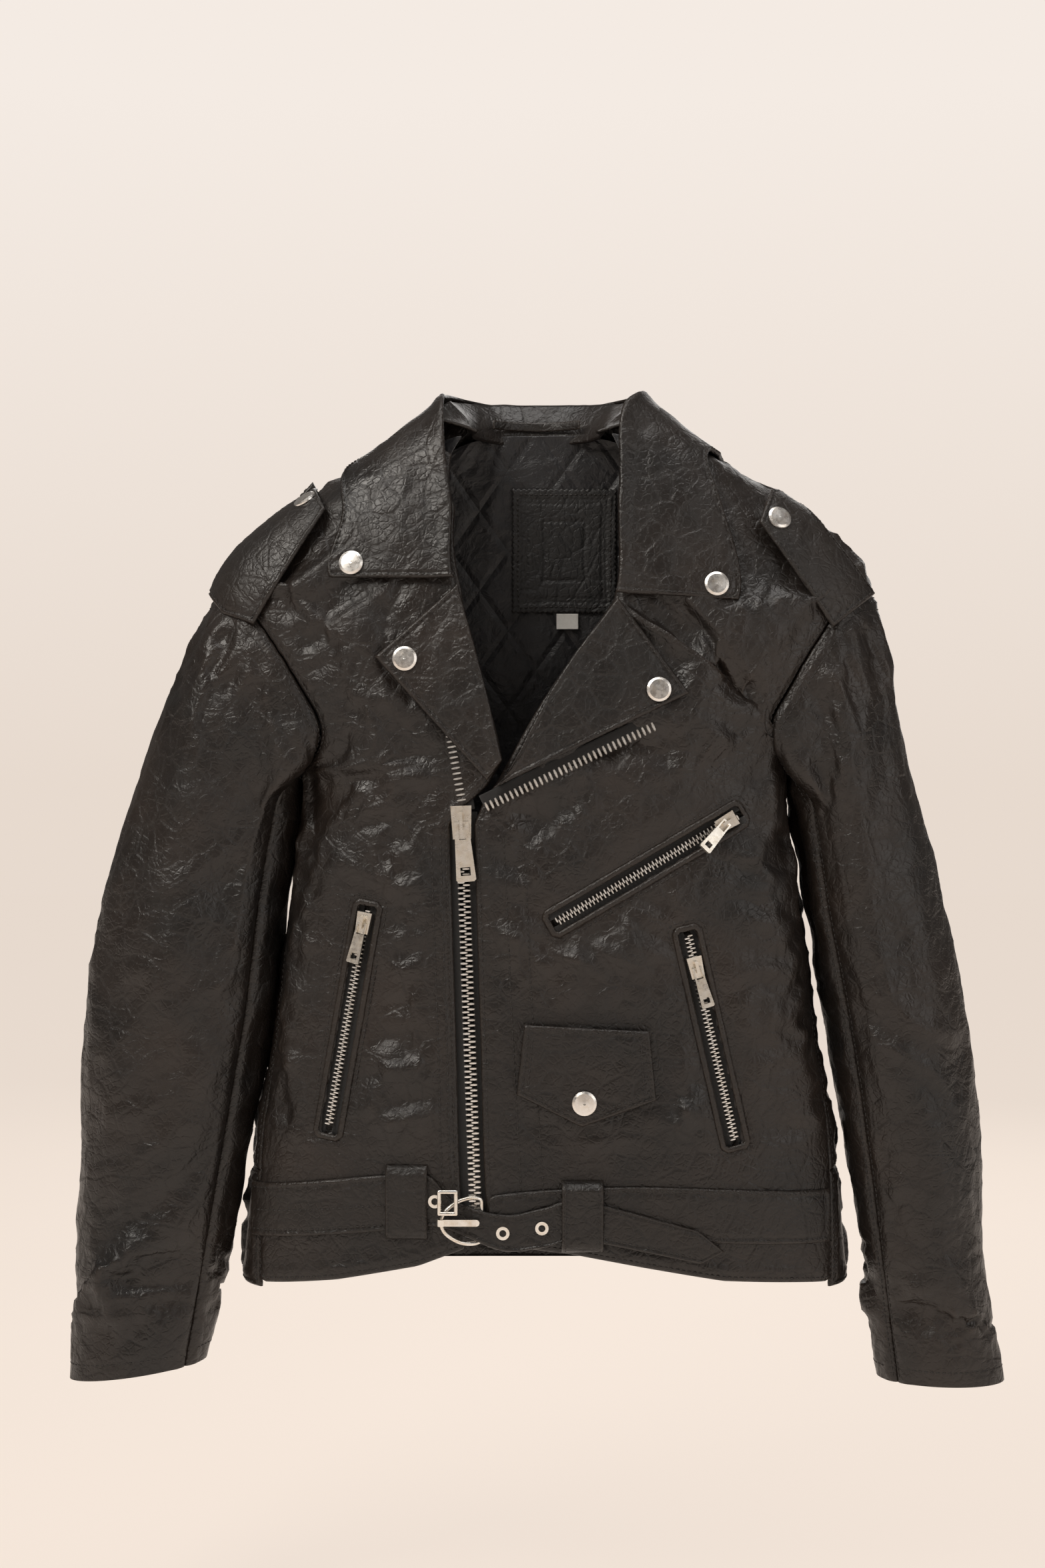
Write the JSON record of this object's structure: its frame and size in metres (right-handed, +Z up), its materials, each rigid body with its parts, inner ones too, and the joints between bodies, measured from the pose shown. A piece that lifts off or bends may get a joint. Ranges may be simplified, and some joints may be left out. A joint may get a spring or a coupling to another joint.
{
  "type": "leather riding jacket",
  "caption": "Black leather riding jacket with notched lapels, a slanted front zip, zipped pockets, a snap coin pocket, shoulder straps and a buckled hem belt.",
  "frame": {"origin": "underside of the hang loop, where a hook bears, at the centre of the back neck seam", "axes": "+X to the wearer's left, +Y from the jacket's front to its back, +Z up towards the collar"},
  "size_m": [0.582, 0.1326, 0.623],
  "materials": {
    "shell_leather": "fine-grained cowhide with a satin sheen, creased and worn brown at the edges",
    "trim_leather": "narrow black leather strip",
    "label_leather": "black leather patch with a plain embossed frame and pinked edge",
    "quilted_lining": "black satin quilted in diagonal lines",
    "pocket_cloth": "plain black cotton",
    "white_tape": "blank white woven tag",
    "zip_tape": "black woven zip tape",
    "zip_teeth": "bright moulded metal teeth",
    "slider_metal": "nickel plate worn to a warm tint",
    "pull_metal": "nickel plate with soft scratches",
    "snap_metal": "brushed nickel caps",
    "buckle_metal": "nickel-plated wire and sheet"
  },
  "bodies": {
    "root": {"front_panel_right": "shell_leather", "front_panel_left": "shell_leather", "back_yoke": "shell_leather", "back_panel": "shell_leather", "back_waist_panel": "shell_leather", "body_lining": "quilted_lining", "collar_stand": "shell_leather", "collar_fall": "shell_leather", "snap_studs": "snap_metal", "main_zip_teeth": "zip_teeth", "zip_tapes": "zip_tape", "pocket_zip_teeth": "zip_teeth", "pocket_frames": "shell_leather", "pocket_bags": "pocket_cloth", "coin_pocket_pouch": "shell_leather", "belt_strap": "shell_leather", "belt_eyelets": "buckle_metal", "belt_buckle_strap": "shell_leather", "belt_loops": "shell_leather", "hang_loop": "trim_leather", "neck_label": "label_leather", "size_tag": "white_tape"},
    "collar_right": {"collar_leaf_right": "shell_leather", "collar_snap_right": "snap_metal"},
    "collar_left": {"collar_leaf_left": "shell_leather", "collar_snap_left": "snap_metal"},
    "lapel_right": {"lapel_right": "shell_leather", "lapel_snap_right": "snap_metal"},
    "lapel_left": {"lapel_left": "shell_leather", "lapel_snap_left": "snap_metal", "lapel_zip_row": "zip_teeth"},
    "epaulette_right": {"epaulette_right": "shell_leather", "epaulette_snap_right": "snap_metal"},
    "epaulette_left": {"epaulette_left": "shell_leather", "epaulette_snap_left": "snap_metal"},
    "coin_flap": {"coin_pocket_flap": "shell_leather", "coin_flap_snap": "snap_metal"},
    "sleeve_right": {"top_sleeve_right": "shell_leather", "under_sleeve_right": "shell_leather", "sleeve_lining_right": "quilted_lining", "cuff_zip_right": "zip_teeth"},
    "sleeve_left": {"top_sleeve_left": "shell_leather", "under_sleeve_left": "shell_leather", "sleeve_lining_left": "quilted_lining", "cuff_zip_left": "zip_teeth"},
    "main_slider": {"main_zip_slider": "slider_metal"},
    "main_pull": {"main_zip_pull": "pull_metal"},
    "chest_slider": {"chest_zip_slider": "slider_metal"},
    "chest_pull": {"chest_zip_pull": "pull_metal"},
    "hand_right_slider": {"hand_zip_slider_right": "slider_metal"},
    "hand_right_pull": {"hand_zip_pull_right": "pull_metal"},
    "hand_left_slider": {"hand_zip_slider_left": "slider_metal"},
    "hand_left_pull": {"hand_zip_pull_left": "pull_metal"},
    "cuff_right_slider": {"cuff_zip_slider_right": "slider_metal"},
    "cuff_right_pull": {"cuff_zip_pull_right": "pull_metal"},
    "cuff_left_slider": {"cuff_zip_slider_left": "slider_metal"},
    "cuff_left_pull": {"cuff_zip_pull_left": "pull_metal"},
    "belt_ring": {"belt_ring": "buckle_metal", "buckle_frame": "buckle_metal"},
    "buckle_tongue": {"buckle_tongue": "buckle_metal"}
  },
  "joints": [
    {"name": "collar_lift_right", "type": "hinge", "parent": "root", "child": "collar_right", "pos_m": [-0.05175, -0.08582, -0.0515], "axis": [-0.0316, 0.2515, 0.9673], "range_deg": [0, 80], "stiffness_Nm_per_rad": 0.08},
    {"name": "collar_lift_left", "type": "hinge", "parent": "root", "child": "collar_left", "pos_m": [0.0485, -0.08928, -0.056], "axis": [-0.0253, -0.2024, -0.979], "range_deg": [0, 80], "stiffness_Nm_per_rad": 0.08},
    {"name": "lapel_lift_right", "type": "hinge", "parent": "root", "child": "lapel_right", "pos_m": [-0.0335, -0.10792, -0.162], "axis": [-0.2329, 0.0831, 0.9689], "range_deg": [0, 85], "stiffness_Nm_per_rad": 0.05},
    {"name": "lapel_lift_left", "type": "hinge", "parent": "root", "child": "lapel_left", "pos_m": [0.0135, -0.10862, -0.1705], "axis": [-0.5181, -0.0634, -0.8529], "range_deg": [0, 85], "stiffness_Nm_per_rad": 0.05},
    {"name": "epaulette_lift_right", "type": "hinge", "parent": "root", "child": "epaulette_right", "pos_m": [-0.192, -0.07875, -0.12371], "axis": [0.6623, -0.5786, -0.476], "range_deg": [0, 75], "stiffness_Nm_per_rad": 0.04},
    {"name": "epaulette_lift_left", "type": "hinge", "parent": "root", "child": "epaulette_left", "pos_m": [0.19209, -0.08479, -0.12257], "axis": [0.7201, 0.4096, 0.5601], "range_deg": [0, 75], "stiffness_Nm_per_rad": 0.04},
    {"name": "coin_flap_lift", "type": "hinge", "parent": "root", "child": "coin_flap", "pos_m": [0.0295, -0.10916, -0.3732], "axis": [-0.9985, -0.0127, 0.0533], "range_deg": [0, 120], "stiffness_Nm_per_rad": 0.02},
    {"name": "sleeve_swing_right", "type": "hinge", "parent": "root", "child": "sleeve_right", "pos_m": [-0.204, -0.038, -0.1035], "axis": [0, 1, 0], "range_deg": [0, 40], "stiffness_Nm_per_rad": 1},
    {"name": "sleeve_swing_left", "type": "hinge", "parent": "root", "child": "sleeve_left", "pos_m": [0.208, -0.038, -0.1105], "axis": [0, -1, 0], "range_deg": [0, 40], "stiffness_Nm_per_rad": 1},
    {"name": "main_zip_slide", "type": "slide", "parent": "root", "child": "main_slider", "axis": [0.0354, 0.0108, -0.9993], "range_m": [0, 0.165]},
    {"name": "main_zip_pull_swing", "type": "hinge", "parent": "main_slider", "child": "main_pull", "pos_m": [-0.04562, -0.10791, -0.25131], "axis": [-0.9958, 0.0266, -0.0873], "range_deg": [0, 100]},
    {"name": "chest_zip_slide", "type": "slide", "parent": "root", "child": "chest_slider", "axis": [-0.864, -0.0488, -0.5011], "range_m": [0, 0.1]},
    {"name": "chest_zip_pull_swing", "type": "hinge", "parent": "chest_slider", "child": "chest_pull", "pos_m": [0.11415, -0.09968, -0.25139], "axis": [-0.7185, -0.0502, 0.6937], "range_deg": [0, 70]},
    {"name": "hand_zip_right_slide", "type": "slide", "parent": "root", "child": "hand_right_slider", "axis": [-0.1719, 0.0335, -0.9845], "range_m": [0, 0.098]},
    {"name": "hand_zip_right_pull_swing", "type": "hinge", "parent": "hand_right_slider", "child": "hand_right_pull", "pos_m": [-0.10573, -0.09925, -0.31219], "axis": [-0.9368, 0.2671, 0.2258], "range_deg": [0, 100]},
    {"name": "hand_zip_left_slide", "type": "slide", "parent": "root", "child": "hand_left_slider", "axis": [0.223, 0.0346, -0.9742], "range_m": [0, 0.08]},
    {"name": "hand_zip_left_pull_swing", "type": "hinge", "parent": "hand_left_slider", "child": "hand_left_pull", "pos_m": [0.0959, -0.10315, -0.33886], "axis": [-0.9496, -0.1482, -0.2764], "range_deg": [0, 100]},
    {"name": "cuff_zip_right_slide", "type": "slide", "parent": "sleeve_right", "child": "cuff_right_slider", "axis": [0.1023, -0.0392, 0.994], "range_m": [0, 0.05]},
    {"name": "cuff_zip_right_pull_swing", "type": "hinge", "parent": "cuff_right_slider", "child": "cuff_right_pull", "pos_m": [-0.21911, -0.0182, -0.55586], "axis": [0.9283, -0.3554, -0.1095], "range_deg": [0, 100]},
    {"name": "cuff_zip_left_slide", "type": "slide", "parent": "sleeve_left", "child": "cuff_left_slider", "axis": [-0.0735, -0.0344, 0.9967], "range_m": [0, 0.05]},
    {"name": "cuff_zip_left_pull_swing", "type": "hinge", "parent": "cuff_left_slider", "child": "cuff_left_pull", "pos_m": [0.22334, -0.01834, -0.56408], "axis": [0.9028, 0.4224, 0.0811], "range_deg": [0, 100]},
    {"name": "belt_ring_swing", "type": "hinge", "parent": "root", "child": "belt_ring", "pos_m": [-0.0336, -0.10425, -0.49], "axis": [0, -0.0125, 0.9999], "range_deg": [0, 35], "stiffness_Nm_per_rad": 0.01},
    {"name": "buckle_tongue_swing", "type": "hinge", "parent": "belt_ring", "child": "buckle_tongue", "pos_m": [-0.05768, -0.11118, -0.49009], "axis": [0, 0.0125, -0.9999], "range_deg": [0, 60], "stiffness_Nm_per_rad": 0.002}
  ]
}
